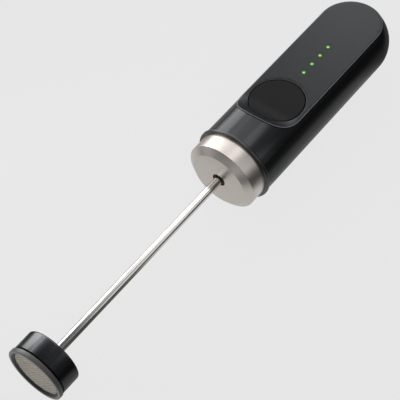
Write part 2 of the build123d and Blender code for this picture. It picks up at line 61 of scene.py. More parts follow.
def finish(name, colour, rough, grain, bump, metal=0.0, specular=0.5, tint=0.12, gloss=(1, 1, 1, 1)):
    """Principled finish whose roughness, shade and relief follow one fine noise on Object coordinates."""
    mat = bpy.data.materials.new(name)
    mat.use_nodes = True
    nodes, links = mat.node_tree.nodes, mat.node_tree.links
    skin = nodes["Principled BSDF"]
    skin.inputs["Metallic"].default_value = metal
    skin.inputs["Specular IOR Level"].default_value = specular
    skin.inputs["Specular Tint"].default_value = gloss
    place = nodes.new("ShaderNodeTexCoord")
    scale = nodes.new("ShaderNodeMapping")
    links.new(place.outputs["Object"], scale.inputs["Vector"])
    fine = nodes.new("ShaderNodeTexNoise")
    fine.inputs["Scale"].default_value = grain
    fine.inputs["Detail"].default_value = 3
    links.new(scale.outputs["Vector"], fine.inputs["Vector"])
    spread = nodes.new("ShaderNodeMapRange")
    spread.inputs["To Min"].default_value = rough[0]
    spread.inputs["To Max"].default_value = rough[1]
    links.new(fine.outputs["Fac"], spread.inputs["Value"])
    links.new(spread.outputs["Result"], skin.inputs["Roughness"])
    cloud = nodes.new("ShaderNodeTexNoise")
    cloud.inputs["Scale"].default_value = grain * 0.06
    links.new(scale.outputs["Vector"], cloud.inputs["Vector"])
    shade = nodes.new("ShaderNodeValToRGB")
    shade.color_ramp.elements[0].color = [c * (1 - tint) for c in colour[:3]] + [1]
    shade.color_ramp.elements[1].color = [min(1, c * (1 + tint)) for c in colour[:3]] + [1]
    links.new(cloud.outputs["Fac"], shade.inputs["Fac"])
    links.new(shade.outputs["Color"], skin.inputs["Base Color"])
    relief = nodes.new("ShaderNodeBump")
    relief.inputs["Strength"].default_value = bump
    relief.inputs["Distance"].default_value = 0.0001
    links.new(fine.outputs["Fac"], relief.inputs["Height"])
    links.new(relief.outputs["Normal"], skin.inputs["Normal"])
    return mat


def clothe(piece, mat):
    """The piece's only material."""
    piece.data.materials.clear()
    piece.data.materials.append(mat)


# Machined and moulded pieces keep their solid's shape. Their faces are welded and shaded smooth, sharp at edges.
SHARP = math.radians(28)
weld_tree = bpy.data.node_groups.new("weld_and_smooth", "GeometryNodeTree")
weld_tree.interface.new_socket("Geometry", in_out="INPUT", socket_type="NodeSocketGeometry")
weld_tree.interface.new_socket("Geometry", in_out="OUTPUT", socket_type="NodeSocketGeometry")
came = weld_tree.nodes.new("NodeGroupInput")
gone = weld_tree.nodes.new("NodeGroupOutput")
weld = weld_tree.nodes.new("GeometryNodeMergeByDistance")
weld.inputs["Distance"].default_value = 1e-6
faces = weld_tree.nodes.new("GeometryNodeSetShadeSmooth")
edges = weld_tree.nodes.new("GeometryNodeSetShadeSmooth")
edges.domain = "EDGE"
edges.inputs["Shade Smooth"].default_value = False
angle = weld_tree.nodes.new("GeometryNodeInputMeshEdgeAngle")
steep = weld_tree.nodes.new("FunctionNodeCompare")
steep.inputs[1].default_value = SHARP
weld_tree.links.new(came.outputs[0], weld.inputs["Geometry"])
weld_tree.links.new(weld.outputs["Geometry"], faces.inputs["Geometry"])
weld_tree.links.new(faces.outputs["Geometry"], edges.inputs["Geometry"])
weld_tree.links.new(angle.outputs["Unsigned Angle"], steep.inputs[0])
weld_tree.links.new(steep.outputs["Result"], edges.inputs["Selection"])
weld_tree.links.new(edges.outputs["Geometry"], gone.inputs[0])


def keep_solid(node, mat):
    """A CAD node that stays: smooth shading and its finish."""
    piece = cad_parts[node]
    piece.modifiers.new("smooth", "NODES").node_group = weld_tree
    clothe(piece, mat)


shell_black = finish("shell_black", SHELL_BLACK, SHELL_ROUGH, SHELL_GRAIN, SHELL_BUMP, specular=0.7,
                     gloss=COOL_GLOSS)
keep_solid("handle_shell", shell_black)

# End collar
# A black ring that stands proud between the shell and the steel cap, with a rounded rim.
# It is trapped on the nose moulding when cap and shell are pushed together.
COLLAR_R = 18.6
COLLAR_BORE = 16.2
COLLAR_ROUND = 0.55
collar_x = [v.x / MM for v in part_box("end_collar")]


def rounded(corners, steps=6):
    """Profile points (x, r) with each corner (x, r, radius) turned into an arc."""
    points = []
    count = len(corners)
    for i, (x, r, fillet) in enumerate(corners):
        here = Vector((x, r))
        if fillet == 0:
            points.append(here)
            continue
        back = (Vector(corners[i - 1][:2]) - here).normalized()
        ahead = (Vector(corners[(i + 1) % count][:2]) - here).normalized()
        half = back.angle(ahead) / 2
        reach = fillet / math.tan(half)
        centre = here + (back + ahead).normalized() * fillet / math.sin(half)
        start = here + back * reach - centre
        turn = start.angle_signed(here + ahead * reach - centre)
        for k in range(steps + 1):
            points.append(centre + Matrix.Rotation(-turn * k / steps, 2) @ start)
    return [(p.x, p.y) for p in points]


def piece_from(name, verts, polys, mat, sharp=35):
    """New object at the origin from points in millimetres about the tool axis."""
    mesh = bpy.data.meshes.new(name)
    mesh.from_pydata([(x * MM, y * MM, z * MM + axis_z) for x, y, z in verts], [], polys)
    bm = bmesh.new()
    bm.from_mesh(mesh)
    bmesh.ops.remove_doubles(bm, verts=bm.verts, dist=1e-7)
    bmesh.ops.recalc_face_normals(bm, faces=bm.faces)
    bm.to_mesh(mesh)
    bm.free()
    mesh.shade_smooth()
    mesh.set_sharp_from_angle(angle=math.radians(sharp))
    piece = bpy.data.objects.new(name, mesh)
    bpy.context.scene.collection.objects.link(piece)
    clothe(piece, mat)
    return piece


def turned(name, profile, mat, sides=160, sharp=35):
    """A lathe piece about the tool axis from a closed (x, r) profile."""
    verts = []
    polys = []
    rows = len(profile)
    for k in range(sides):
        a = 2 * math.pi * k / sides
        verts += [(x, r * math.cos(a), r * math.sin(a)) for x, r in profile]
    for k in range(sides):
        for i in range(rows):
            j = (i + 1) % rows
            n = (k + 1) % sides
            if profile[i][1] + profile[j][1] > 0:
                polys.append((k * rows + i, k * rows + j, n * rows + j, n * rows + i))
    return piece_from(name, verts, polys, mat, sharp)


collar_black = finish("collar_black", (0.008, 0.008, 0.0082, 1), (0.24, 0.30), 2200, 0.02, specular=0.9)
collar = turned("collar_ring", rounded([
    (collar_x[0], COLLAR_BORE, 0), (collar_x[0], COLLAR_R, COLLAR_ROUND),
    (collar_x[1], COLLAR_R, COLLAR_ROUND), (collar_x[1], COLLAR_BORE, 0),
]), collar_black)
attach(collar, "handle")
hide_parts("end_collar")

# Steel end cap
# A stainless cap drawn over the nose moulding: flat end, bevelled shoulder and straight skirt.
# It is turned and finely brushed around its axis, so the light smears along the rings.
CAP_R = 17.0
CAP_FACE_R = 13.54
CAP_BEVEL = 2.2
CAP_WALL = 0.8
CAP_HOLE = 3.2
CAP_EDGE = 0.22
STEEL = (0.64, 0.59, 0.55, 1)
cap_x = [v.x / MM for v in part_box("steel_end_cap")]


def turned_steel(name, colour, rough, lines, depth, wobble):
    """Metal with fine turning lines that run round the tool axis."""
    mat = finish(name, colour, rough, lines, depth, metal=1.0, tint=0.05)
    nodes, links = mat.node_tree.nodes, mat.node_tree.links
    place = next(n for n in nodes if n.type == "TEX_COORD")
    scale = next(n for n in nodes if n.type == "MAPPING")
    split = nodes.new("ShaderNodeSeparateXYZ")
    links.new(place.outputs["Object"], split.inputs["Vector"])
    up = nodes.new("ShaderNodeMath")
    up.operation = "SUBTRACT"
    up.inputs[1].default_value = axis_z
    links.new(split.outputs["Z"], up.inputs[0])
    flat = nodes.new("ShaderNodeCombineXYZ")
    links.new(split.outputs["Y"], flat.inputs["X"])
    links.new(up.outputs["Value"], flat.inputs["Y"])
    reach = nodes.new("ShaderNodeVectorMath")
    reach.operation = "LENGTH"
    links.new(flat.outputs["Vector"], reach.inputs[0])
    turn = nodes.new("ShaderNodeMath")
    turn.operation = "ARCTAN2"
    links.new(up.outputs["Value"], turn.inputs[0])
    links.new(split.outputs["Y"], turn.inputs[1])
    slow = nodes.new("ShaderNodeMath")
    slow.operation = "MULTIPLY"
    slow.inputs[1].default_value = wobble
    links.new(turn.outputs["Value"], slow.inputs[0])
    ring = nodes.new("ShaderNodeCombineXYZ")
    links.new(split.outputs["X"], ring.inputs["X"])
    links.new(reach.outputs["Value"], ring.inputs["Y"])
    links.new(slow.outputs["Value"], ring.inputs["Z"])
    links.new(ring.outputs["Vector"], scale.inputs["Vector"])
    return mat


cap_steel = turned_steel("cap_steel", STEEL, (0.30, 0.38), 3000, 0.04, 0.0006)
cap = turned("cap_shell", rounded([
    (cap_x[0], CAP_HOLE, 0), (cap_x[0], CAP_FACE_R, CAP_EDGE), (cap_x[0] + CAP_BEVEL, CAP_R, CAP_EDGE),
    (cap_x[1], CAP_R, 0), (cap_x[1], CAP_R - CAP_WALL, 0),
    (cap_x[0] + CAP_BEVEL + CAP_WALL / 2, CAP_R - CAP_WALL, 0),
    (cap_x[0] + CAP_WALL, CAP_FACE_R - CAP_WALL * 0.6, 0), (cap_x[0] + CAP_WALL, CAP_HOLE, 0),
]), cap_steel, sides=200, sharp=25)
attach(cap, "handle")
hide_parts("steel_end_cap")

# Shaft seal
# A black rubber lip ring around the shaft, with a shallow dished face.
# It is pressed into the cap's hole and stays still while the shaft turns in it.
SEAL_BORE = 2.06
SEAL_DISH = 0.5
seal_x = [v.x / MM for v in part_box("shaft_seal")]
seal_black = finish("seal_black", (0.008, 0.008, 0.008, 1), (0.55, 0.7), 1500, 0.1)
seal = turned("shaft_lip_seal", rounded([
    (seal_x[0] + 0.05, CAP_HOLE, 0), (seal_x[0] + SEAL_DISH, SEAL_BORE + 0.35, 0.1),
    (seal_x[0] + SEAL_DISH, SEAL_BORE, 0), (seal_x[1], SEAL_BORE, 0), (seal_x[1], CAP_HOLE, 0),
]), seal_black, sides=72)
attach(seal, "handle")
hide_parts("shaft_seal")

# Drive shaft
# A ground and polished stainless rod, four millimetres thick, with its ends broken.
# It is pressed into the coupling in the handle and into the hub of the mixing cup.
SHAFT_R = 2.0
SHAFT_EDGE = 0.2
shaft_x = [v.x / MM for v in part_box("drive_shaft")]
shaft_steel = turned_steel("shaft_steel", (0.74, 0.725, 0.695, 1), (0.15, 0.19), 60, 0.0, 0.004)
shaft = turned("polished_rod", rounded([
    (shaft_x[0], 0, 0), (shaft_x[0], SHAFT_R, SHAFT_EDGE), (shaft_x[1], SHAFT_R, SHAFT_EDGE), (shaft_x[1], 0, 0),
]), shaft_steel, sides=96)
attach(shaft, "rotor")
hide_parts("drive_shaft")

# Mixing cup
# A black moulded cup with vanes inside, ports in its back and a rounded shoulder.
# It is pressed onto the shaft's end, and its open front takes the screen.
cup_black = finish("cup_black", (0.004, 0.0042, 0.0047, 1), (0.18, 0.24), 2400, 0.02, specular=0.85,
                   gloss=COOL_GLOSS)
keep_solid("mixing_head", cup_black)

# Screen ring
# A black moulded ring whose front is a flat band with a bevel down to the mesh.
# It plugs into the cup, held by an o-ring in its groove. The back edge of its flange is painted near-black as
# painted shadow in the seam against the cup, and its bevel down to the mesh as painted shade in the recess.
RING_R = 13.3
RING_LENGTH = 2.1
RING_BAND = 12.0
RING_EDGE = 0.28
RING_PLUG = 11.95
MESH_R = 10.8
MESH_RECESS = 1.1
MESH_SLOT = 11.4
MESH_DEPTH = 0.25
GROOVE_R = 11.4
GROOVE = 0.7
ring_x = [v.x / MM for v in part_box("screen_ring")]
groove_x = ring_x[0] + 4.25
ring_black = finish("ring_black", (0.12, 0.117, 0.117, 1), (0.28, 0.36), 2400, 0.03)
# Near-black second finish: painted shade for the flange's back edge at the seam and for the bevel into the recess.
painted_shade_black = finish("painted_shade_black", (0.006, 0.006, 0.006, 1), (0.45, 0.55), 2400, 0.03)
ring = turned("screen_holder", rounded([
    (ring_x[0] + MESH_RECESS, MESH_R, 0), (ring_x[0], RING_BAND, 0.15), (ring_x[0], RING_R, RING_EDGE),
    (ring_x[0] + RING_LENGTH, RING_R, RING_EDGE), (ring_x[0] + RING_LENGTH, RING_PLUG, 0),
    (groove_x - GROOVE / 2, RING_PLUG, 0), (groove_x - GROOVE / 2, GROOVE_R, 0),
    (groove_x + GROOVE / 2, GROOVE_R, 0), (groove_x + GROOVE / 2, RING_PLUG, 0),
    (ring_x[1], RING_PLUG, 0.2), (ring_x[1], MESH_R, 0), (ring_x[0] + MESH_RECESS + MESH_DEPTH, MESH_R, 0),
    (ring_x[0] + MESH_RECESS + MESH_DEPTH, MESH_SLOT, 0), (ring_x[0] + MESH_RECESS, MESH_SLOT, 0),
]), ring_black, sides=180, sharp=25)
ring.data.materials.append(painted_shade_black)
# Faces at the back of the flange and on the bevel below the band take the near-black painted shade.
for face in ring.data.polygons:
    out = math.hypot(face.center.y, face.center.z - axis_z)
    flange_back_shade = face.center.x > (ring_x[0] + RING_LENGTH - 0.15) * MM
    face.material_index = int(flange_back_shade or out < (RING_BAND - 0.1) * MM)
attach(ring, "screen")
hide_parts("screen_ring")
keep_solid("screen_o_ring", seal_black)

# Screen mesh
# Plain-woven stainless wire cloth, its wires passing over and under each other, cut round
# and moulded into the ring's slot.
WIRE_PITCH = 0.7
WIRE_R = 0.135
WIRE_SIDES = 6
STEPS_PER_PITCH = 6
CLOTH_GAP = 0.05
WIRE_LIFT = 0.95
WIRE_STEEL = (0.62, 0.585, 0.52, 1)
mesh_steel = finish("mesh_steel", WIRE_STEEL, (0.30, 0.45), 900, 0.05, metal=1.0, tint=0.1)
weave = bpy.data.node_groups.new("wire_cloth", "GeometryNodeTree")
weave.interface.new_socket("Geometry", in_out="OUTPUT", socket_type="NodeSocketGeometry")
cloth_sizes = {"Pitch": WIRE_PITCH * MM, "Wire Radius": WIRE_R * MM, "Cloth Radius": (MESH_SLOT - CLOTH_GAP) * MM}
for label, value in cloth_sizes.items():
    weave.interface.new_socket(label, in_out="INPUT", socket_type="NodeSocketFloat").default_value = value
weave_in = weave.nodes.new("NodeGroupInput")
weave_out = weave.nodes.new("NodeGroupOutput")


def weave_math(operation, a, b=0.0):
    """One Math node of the weave, from sockets or plain numbers."""
    node = weave.nodes.new("ShaderNodeMath")
    node.operation = operation
    for socket, value in zip(node.inputs, (a, b)):
        if isinstance(value, (int, float)):
            socket.default_value = value
        else:
            weave.links.new(value, socket)
    return node.outputs["Value"]


pitch, wire_radius, cloth_radius = (weave_in.outputs[k] for k in ("Pitch", "Wire Radius", "Cloth Radius"))
wires_each_way = 2 * int(MESH_SLOT / WIRE_PITCH) + 1
wire_ring = weave.nodes.new("GeometryNodeCurvePrimitiveCircle")
wire_ring.inputs["Resolution"].default_value = WIRE_SIDES
weave.links.new(wire_radius, wire_ring.inputs["Radius"])
join = weave.nodes.new("GeometryNodeJoinGeometry")
for along, across, lift in (("Y", "Z", 1), ("Z", "Y", -1)):
    place = weave.nodes.new("GeometryNodeInputPosition")
    split = weave.nodes.new("ShaderNodeSeparateXYZ")
    weave.links.new(place.outputs["Position"], split.inputs["Vector"])
    span = weave_math("MULTIPLY", pitch, (wires_each_way - 1) / 2)
    back = weave_math("MULTIPLY", span, -1.0)
    ends = []
    for value in (back, span):
        end = weave.nodes.new("ShaderNodeCombineXYZ")
        weave.links.new(value, end.inputs[along])
        ends.append(end.outputs["Vector"])
    line = weave.nodes.new("GeometryNodeCurvePrimitiveLine")
    weave.links.new(ends[0], line.inputs["Start"])
    weave.links.new(ends[1], line.inputs["End"])
    steps = weave.nodes.new("GeometryNodeResampleCurve")
    steps.inputs["Count"].default_value = (wires_each_way - 1) * STEPS_PER_PITCH + 1
    weave.links.new(line.outputs["Curve"], steps.inputs["Curve"])
    first = weave.nodes.new("ShaderNodeCombineXYZ")
    weave.links.new(back, first.inputs[across])
    step = weave.nodes.new("ShaderNodeCombineXYZ")
    weave.links.new(pitch, step.inputs[across])
    row = weave.nodes.new("GeometryNodeMeshLine")
    row.inputs["Count"].default_value = wires_each_way
    weave.links.new(first.outputs["Vector"], row.inputs["Start Location"])
    weave.links.new(step.outputs["Vector"], row.inputs["Offset"])
    copies = weave.nodes.new("GeometryNodeInstanceOnPoints")
    weave.links.new(row.outputs["Mesh"], copies.inputs["Points"])
    weave.links.new(steps.outputs["Curve"], copies.inputs["Instance"])
    wires = weave.nodes.new("GeometryNodeRealizeInstances")
    weave.links.new(copies.outputs["Instances"], wires.inputs["Geometry"])
    far = weave_math("SQRT", weave_math("ADD", weave_math("POWER", split.outputs["Y"], 2.0),
                                        weave_math("POWER", split.outputs["Z"], 2.0)))
    trim = weave.nodes.new("GeometryNodeDeleteGeometry")
    weave.links.new(wires.outputs["Geometry"], trim.inputs["Geometry"])
    weave.links.new(weave_math("GREATER_THAN", far, cloth_radius), trim.inputs["Selection"])
    phase = weave_math("MULTIPLY", weave_math("DIVIDE", split.outputs[along], pitch), math.pi)
    row_phase = weave_math("MULTIPLY", weave_math("DIVIDE", split.outputs[across], pitch), math.pi)
    over_under = weave_math("MULTIPLY", weave_math("COSINE", phase), weave_math("COSINE", row_phase))
    height = weave_math("MULTIPLY", over_under, weave_math("MULTIPLY", wire_radius, WIRE_LIFT * lift))
    offset = weave.nodes.new("ShaderNodeCombineXYZ")
    weave.links.new(height, offset.inputs["X"])
    wave = weave.nodes.new("GeometryNodeSetPosition")
    weave.links.new(trim.outputs["Geometry"], wave.inputs["Geometry"])
    weave.links.new(offset.outputs["Vector"], wave.inputs["Offset"])
    tube = weave.nodes.new("GeometryNodeCurveToMesh")
    tube.inputs["Fill Caps"].default_value = True
    weave.links.new(wave.outputs["Geometry"], tube.inputs["Curve"])
    weave.links.new(wire_ring.outputs["Curve"], tube.inputs["Profile Curve"])
    weave.links.new(tube.outputs["Mesh"], join.inputs["Geometry"])
shade = weave.nodes.new("GeometryNodeSetShadeSmooth")
weave.links.new(join.outputs["Geometry"], shade.inputs["Geometry"])
real = weave.nodes.new("GeometryNodeRealizeInstances")
weave.links.new(shade.outputs["Geometry"], real.inputs["Geometry"])
paint = weave.nodes.new("GeometryNodeSetMaterial")
paint.inputs["Material"].default_value = mesh_steel
weave.links.new(real.outputs["Geometry"], paint.inputs["Geometry"])
weave.links.new(paint.outputs["Geometry"], weave_out.inputs[0])


def grown(name, tree, settings, shift):
    """Plain mesh object made by a node tree, moved by shift millimetres along the axis from the origin."""
    seed = bpy.data.objects.new(name + "_seed", bpy.data.meshes.new(name + "_seed"))
    bpy.context.scene.collection.objects.link(seed)
    made = seed.modifiers.new("grow", "NODES")
    made.node_group = tree
    for label, value in settings.items():
        made[tree.interface.items_tree[label].identifier] = value
    graph = bpy.context.evaluated_depsgraph_get()
    mesh = bpy.data.meshes.new_from_object(seed.evaluated_get(graph), depsgraph=graph)
    bpy.data.objects.remove(seed)
    mesh.name = name
    mesh.transform(Matrix.Translation((shift * MM, 0, axis_z)))
    piece = bpy.data.objects.new(name, mesh)
    bpy.context.scene.collection.objects.link(piece)
    return piece


cloth = grown("wire_cloth", weave, cloth_sizes, ring_x[0] + MESH_RECESS + MESH_DEPTH / 2)
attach(cloth, "screen")
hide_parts("screen_mesh")

# Face panel
# A thin dark grey plate with a matte grain, bonded on the shell's flat. It runs up the thumb scoop
# at its lower end, and has a round opening for the button and small ones for the lights.
# Its rounded outer edge and the rounded rim of the button opening are painted light grey as a painted highlight
# along the edges.
HANDLE_R = 18.0
PANEL_PROUD = 0.25
PANEL_T = 0.4
PANEL_EDGE = 0.16
FLAT_Z = 11.06
SCOOP_R = 16.8
SCOOP_BACK = 3.3
BUTTON_R = 12.3
BUTTON_GAP = 0.45
LIGHT_R = 0.75
LIGHT_PITCH = 6.2
LIGHTS = 4
PANEL_GREY = (0.0085, 0.0092, 0.0115, 1)
# Light grey laid on the panel's rounded edges as a painted highlight.
EDGE_HIGHLIGHT_PAINT = (0.17, 0.174, 0.182, 1)
button_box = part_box("push_button")
button_x = (button_box[0].x + button_box[1].x) / 2 / MM
scoop_x = button_x - SCOOP_BACK
dome_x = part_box("handle_shell")[1].x / MM - HANDLE_R
light_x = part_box("indicator_leds")[0].x / MM + 0.8
panel_r = HANDLE_R + PANEL_PROUD
scoop_z = FLAT_Z + SCOOP_R


def face_height(x):
    """Height of the scooped flat over the axis at x."""
    if x >= scoop_x:
        return FLAT_Z
    return scoop_z - math.sqrt(max(SCOOP_R ** 2 - (scoop_x - x) ** 2, 0))


def face_outline(depth, samples=(48, 40, 64)):
    """Closed loop where the scooped flat, lowered by depth, meets the panel's outer round."""
    half = []
    reach = SCOOP_R + depth
    top = math.acos((scoop_z - panel_r) / reach)
    for k in range(samples[0]):
        a = top * (1 - (k / samples[0]) ** 2)
        z = scoop_z - reach * math.cos(a)
        half.append((scoop_x - reach * math.sin(a), math.sqrt(max(panel_r ** 2 - z ** 2, 0)), z))
    z = FLAT_Z - depth
    wide = math.sqrt(panel_r ** 2 - z ** 2)
    for k in range(samples[1]):
        half.append((scoop_x + (dome_x - scoop_x) * k / samples[1], wide, z))
    for k in range(samples[2] + 1):
        a = math.pi / 2 * k / samples[2]
        half.append((dome_x + wide * math.sin(a), wide * math.cos(a), z))
    other = [(x, -y, z) for x, y, z in half[-2:0:-1]]
    return half + other


def inset(loop, by):
    """The loop moved inwards in plan, laid on the face."""
    plan = np.array([p[:2] for p in loop])
    edge = np.roll(plan, -1, 0) - np.roll(plan, 1, 0)
    edge /= np.linalg.norm(edge, axis=1)[:, None]
    normal = np.stack([-edge[:, 1], edge[:, 0]], 1)
    middle = plan.mean(0)
    if np.sum((middle - plan) * normal) < 0:
        normal = -normal
    moved = plan + normal * by
    return [(x, y, face_height(x)) for x, y in moved]


def circle_loop(x, r, sides, drop):
    """A level round in plan on the face, lowered by drop."""
    turn = [2 * math.pi * k / sides for k in range(sides)]
    ring = [(x + r * math.cos(a), r * math.sin(a)) for a in turn]
    return [(px, py, face_height(px) - drop) for px, py in ring]


def strips(verts, polys, loops):
    """Quads between successive closed loops of equal length. Returns the first index of each loop."""
    firsts = []
    for loop in loops:
        firsts.append(len(verts))
        verts.extend(loop)
    n = len(loops[0])
    for a, b in zip(firsts, firsts[1:]):
        polys.extend((a + i, a + (i + 1) % n, b + (i + 1) % n, b + i) for i in range(n))
    return firsts


def mixed(a, b, share):
    """The loop that lies this share of the way from a to b."""
    return [tuple(np.array(p) * (1 - share) + np.array(q) * share) for p, q in zip(a, b)]


verts = []
polys = []
rim = face_outline(0.0)
rim_low = face_outline(PANEL_EDGE)
rim_in = inset(rim, PANEL_EDGE)
corner = mixed(mixed(rim_in, rim_low, 0.5), rim, 0.42)
outer = strips(verts, polys, [rim_in, corner, rim_low, face_outline(PANEL_T)])
openings = [(button_x, BUTTON_R + BUTTON_GAP, 128)]
openings += [(light_x + i * LIGHT_PITCH, LIGHT_R, 28) for i in range(LIGHTS)]
inner = []
for x, r, sides in openings:
    edge = PANEL_EDGE / 2 if r > 2 else 0.08
    loops = [circle_loop(x, r + edge, sides, 0), circle_loop(x, r + edge * 0.3, sides, edge * 0.3),
             circle_loop(x, r, sides, edge), circle_loop(x, r, sides, PANEL_T)]
    inner.append(strips(verts, polys, loops) + [sides])


def filled(loops, spacing):
    """Triangles over the plan area inside the first loop and outside the others, with a grid of inner points."""
    points = []
    borders = []
    for loop in loops:
        start = len(points)
        points += [Vector(p[:2]) for p in loop]
        borders.append(list(range(start, len(points))))
    low = np.min([p for p in points], 0)
    high = np.max([p for p in points], 0)
    ring = [np.array([p[:2] for p in loop]) for loop in loops]
    for gx in np.arange(low[0] + spacing / 2, high[0], spacing):
        for gy in np.arange(low[1] + spacing / 2, high[1], spacing):
            gaps = [np.min(np.hypot(r[:, 0] - gx, r[:, 1] - gy)) for r in ring]
            if min(gaps) > spacing * 0.45:
                points.append(Vector((gx, gy)))
    lines = [(b[i], b[(i + 1) % len(b)]) for b in borders for i in range(len(b))]
    done = delaunay_2d_cdt(points, lines, [], 0, 1e-5)

    def inside(loop, x, y):
        x0, y0 = loop[:, 0], loop[:, 1]
        x1, y1 = np.roll(x0, -1), np.roll(y0, -1)
        cross = ((y0 > y) != (y1 > y)) & (x < (x1 - x0) * (y - y0) / (y1 - y0 + 1e-15) + x0)
        return np.sum(cross) % 2 == 1

    tris = []
    for tri in done[2]:
        mx, my = np.mean([done[0][i] for i in tri], 0)
        if inside(ring[0], mx, my) and not any(inside(r, mx, my) for r in ring[1:]):
            tris.append(tri)
    return [(p.x, p.y) for p in done[0]], tris


plan, tris = filled([rim_in] + [verts[f[0]:f[0] + f[-1]] for f in inner], 1.6)
start = len(verts)
verts += [(x, y, face_height(x)) for x, y in plan]
polys += [[start + i for i in tri] for tri in tris]
low_plan, low_tris = filled([face_outline(PANEL_T)] + [verts[f[3]:f[3] + f[-1]] for f in inner], 1.6)
start = len(verts)


seat_edge = np.array(verts[outer[3]:outer[3] + len(rim)] + [p for f in inner for p in verts[f[3]:f[3] + f[-1]]])


def seat_height(x, y):
    """Height of the panel's underside, which at its edges is the edge's own."""
    gaps = np.hypot(seat_edge[:, 0] - x, seat_edge[:, 1] - y)
    if np.min(gaps) < 1e-3:
        return seat_edge[np.argmin(gaps)][2]
    reach = SCOOP_R + PANEL_T
    if x >= scoop_x:
        return FLAT_Z - PANEL_T
    return scoop_z - math.sqrt(max(reach ** 2 - (scoop_x - x) ** 2, 0))


verts += [(x, y, seat_height(x, y)) for x, y in low_plan]
polys += [[start + i for i in tri] for tri in low_tris]
panel_grey = finish("panel_grey", PANEL_GREY, (0.36, 0.44), 3000, 0.05, specular=0.30, gloss=COOL_GLOSS)
panel = piece_from("face_plate", verts, polys, panel_grey, sharp=40)
# The rounded outer edge and the button opening's rounded rim take a second, light grey finish as a painted
# highlight: quad faces whose corners all lie on those rim loops get it.
painted_edge_highlight = finish("panel_painted_edge_highlight", EDGE_HIGHLIGHT_PAINT, (0.30, 0.36), 3000, 0.03, specular=0.6, gloss=COOL_GLOSS)
panel.data.materials.append(painted_edge_highlight)
button_painted_highlight = [p for k in range(3) for p in verts[inner[0][k]:inner[0][k] + inner[0][-1]]]
painted_highlight_places = np.array(rim_in + corner + rim_low + button_painted_highlight)
at_painted_highlight = []
for v in panel.data.vertices:
    gap = painted_highlight_places - (v.co.x / MM, v.co.y / MM, (v.co.z - axis_z) / MM)
    at_painted_highlight.append(np.min(np.sum(gap ** 2, 1)) < 1e-4)
for face in panel.data.polygons:
    face.material_index = int(len(face.vertices) == 4 and all(at_painted_highlight[i] for i in face.vertices))
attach(panel, "handle")
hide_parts("face_panel")

# Push button
# A large round button of soft charcoal plastic, flush with the panel and dished along the scoop.
# Its flange under the shell keeps it in, and a stem below it works the switch.
BUTTON_EDGE = 0.3
BUTTON_FLANGE = 13.4
BUTTON_GREY = (0.0095, 0.0095, 0.0095, 1)
button_sides = 128
button_low = button_box[0].z / MM - axis_z / MM
flange_top = button_low + 0.8
loops = [circle_loop(button_x, BUTTON_R * k / 24, button_sides, 0) for k in range(1, 24)]
for a in np.linspace(0, math.pi / 2, 6):
    out = BUTTON_R - BUTTON_EDGE * (1 - math.sin(a))
    loops.append(circle_loop(button_x, out, button_sides, BUTTON_EDGE * (1 - math.cos(a))))
for r, z in ((BUTTON_R, flange_top), (BUTTON_FLANGE, flange_top), (BUTTON_FLANGE, button_low)):
    loops.append([(x, y, z) for x, y, _ in circle_loop(button_x, r, button_sides, 0)])
verts = []
polys = []
strips(verts, polys, loops)
top = len(verts)
verts.append((button_x, 0, face_height(button_x)))
polys += [(top, i, (i + 1) % button_sides) for i in range(button_sides)]
last = top - button_sides
polys.append([last + i for i in range(button_sides)])
button_grey = finish("button_grey", BUTTON_GREY, (0.46, 0.54), 2600, 0.05, specular=0.10)
button = piece_from("thumb_button", verts, polys, button_grey, sharp=40)
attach(button, "button")
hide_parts("push_button")

# Indicator lenses
# Four clear pips in a row on the panel, over the ends of the light guide below it.
# The board's lamps light them green, brightest in the middle.
LENS_R = 1.65
LENS_RISE = 0.10
LENS_RINGS = 8
LENS_CORE = (0.55, 0.80, 0.33, 1)
LENS_GREEN = (0.035, 0.15, 0.008, 1)
glow = bpy.data.materials.new("lit_green")
glow.use_nodes = True
glow_nodes, glow_links = glow.node_tree.nodes, glow.node_tree.links
lens_skin = glow_nodes["Principled BSDF"]
lens_skin.inputs["Base Color"].default_value = (0.003, 0.004, 0.003, 1)
lens_skin.inputs["Specular IOR Level"].default_value = 0.2
lens_skin.inputs["Roughness"].default_value = 0.4
spot = glow_nodes.new("ShaderNodeAttribute")
spot.attribute_name = "from_middle"
bright = glow_nodes.new("ShaderNodeValToRGB")
bright.color_ramp.elements[0].color = LENS_CORE
bright.color_ramp.elements[0].position = 0.20
bright.color_ramp.elements[1].color = (0, 0, 0, 1)
green = bright.color_ramp.elements.new(0.42)
green.color = LENS_GREEN
rim_glow = bright.color_ramp.elements.new(0.78)
rim_glow.color = [c * 0.3 for c in LENS_GREEN[:3]] + [1]
glow_links.new(spot.outputs["Fac"], bright.inputs["Fac"])
glow_links.new(bright.outputs["Color"], lens_skin.inputs["Emission Color"])
lens_skin.inputs["Emission Strength"].default_value = 1.0
verts = []
polys = []
shares = []
lens_sides = 32
for i in range(LIGHTS):
    x = light_x + i * LIGHT_PITCH
    first = len(verts)
    for k in range(LENS_RINGS + 1):
        share = k / LENS_RINGS
        rise = LENS_RISE * (1 - share ** 2)
        verts += [(px, py, FLAT_Z + rise) for px, py, _ in circle_loop(x, LENS_R * max(share, 0.02), lens_sides, 0)]
        shares += [share] * lens_sides
    polys += [[first + j for j in range(lens_sides)]]
    for k in range(LENS_RINGS):
        a = first + k * lens_sides
        b = a + lens_sides
        polys += [(a + j, a + (j + 1) % lens_sides, b + (j + 1) % lens_sides, b + j) for j in range(lens_sides)]
    polys += [[first + LENS_RINGS * lens_sides + j for j in range(lens_sides)][::-1]]
lenses = piece_from("light_pips", verts, polys, glow, sharp=60)
middle = lenses.data.attributes.new("from_middle", "FLOAT", "POINT")
middle.data.foreach_set("value", shares)
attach(lenses, "handle")

